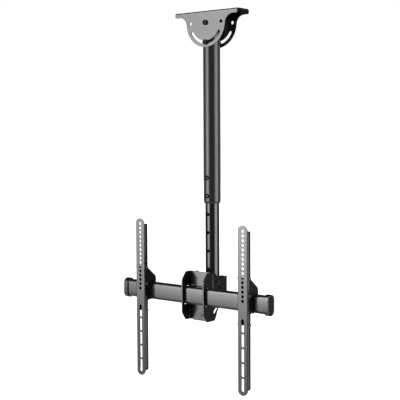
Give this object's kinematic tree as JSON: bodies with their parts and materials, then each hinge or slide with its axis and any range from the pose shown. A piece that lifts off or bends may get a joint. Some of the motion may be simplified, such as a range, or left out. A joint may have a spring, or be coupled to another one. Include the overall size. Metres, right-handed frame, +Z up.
{
  "type": "tv ceiling mount",
  "caption": "Ceiling mount for a flat display: folded ceiling plate, telescoping column that leans, swivel and tilt head, and a cross rail with sliding hooked display arms.",
  "frame": {"origin": "on the column's axis, in the face of the ceiling plate that lies against the ceiling", "axes": "+Z up, +X along the cross rail to the right arm, -Y towards the display and the viewer"},
  "size_m": [0.498, 0.1401, 1.002],
  "materials": {
    "black_steel": "satin",
    "black_fasteners": "satin",
    "black_plastic": "matt"
  },
  "bodies": {
    "ceiling": {"ceiling_plate": "black_steel", "pivot_bolt": "black_fasteners", "pivot_washer": "black_fasteners", "pivot_nut": "black_fasteners"},
    "upper_column": {"outer_column": "black_steel", "column_collar": "black_plastic", "height_screws": "black_fasteners", "lean_lock_bolt": "black_fasteners", "lean_lock_washer": "black_fasteners", "lean_lock_nut": "black_fasteners"},
    "lower_column": {"inner_column": "black_steel", "guide_bush": "black_plastic", "swivel_plug": "black_steel", "swivel_bolt": "black_fasteners", "swivel_washer": "black_fasteners"},
    "swivel_head": {"swivel_bracket": "black_steel", "swivel_lock_screw": "black_fasteners", "tilt_bolts": "black_fasteners", "tilt_washers": "black_fasteners", "tilt_nuts": "black_fasteners"},
    "display_head": {"tilt_bracket": "black_steel", "display_bracket": "black_steel", "bracket_rivet": "black_fasteners", "clamp_screws": "black_fasteners", "rail": "black_steel", "end_cap_left": "black_plastic", "end_cap_right": "black_plastic"},
    "left_arm": {"arm_left": "black_steel", "hook_bracket_left": "black_steel", "rail_liner_left": "black_plastic", "arm_bolts_left": "black_fasteners", "arm_nuts_left": "black_fasteners"},
    "right_arm": {"arm_right": "black_steel", "hook_bracket_right": "black_steel", "rail_liner_right": "black_plastic", "arm_bolts_right": "black_fasteners", "arm_nuts_right": "black_fasteners"}
  },
  "joints": [
    {"name": "column_lean", "type": "hinge", "parent": "ceiling", "child": "upper_column", "pos_m": [0, 0, -0.0315], "axis": [0, 1, 0], "range_deg": [-60, 60]},
    {"name": "height_slide", "type": "slide", "parent": "upper_column", "child": "lower_column", "axis": [0, 0, 1], "range_m": [-0.15, 0.15]},
    {"name": "head_swivel", "type": "hinge", "parent": "lower_column", "child": "swivel_head", "pos_m": [0, 0, -0.723], "axis": [0, 0, 1], "range_deg": [-180, 180]},
    {"name": "head_tilt", "type": "hinge", "parent": "swivel_head", "child": "display_head", "pos_m": [0, -0.06825, -0.765], "axis": [1, 0, 0], "range_deg": [-5, 20]},
    {"name": "left_arm_slide", "type": "slide", "parent": "display_head", "child": "left_arm", "axis": [-1, 0, 0], "range_m": [-0.115, 0.045]},
    {"name": "right_arm_slide", "type": "slide", "parent": "display_head", "child": "right_arm", "axis": [1, 0, 0], "range_m": [-0.115, 0.032]}
  ]
}
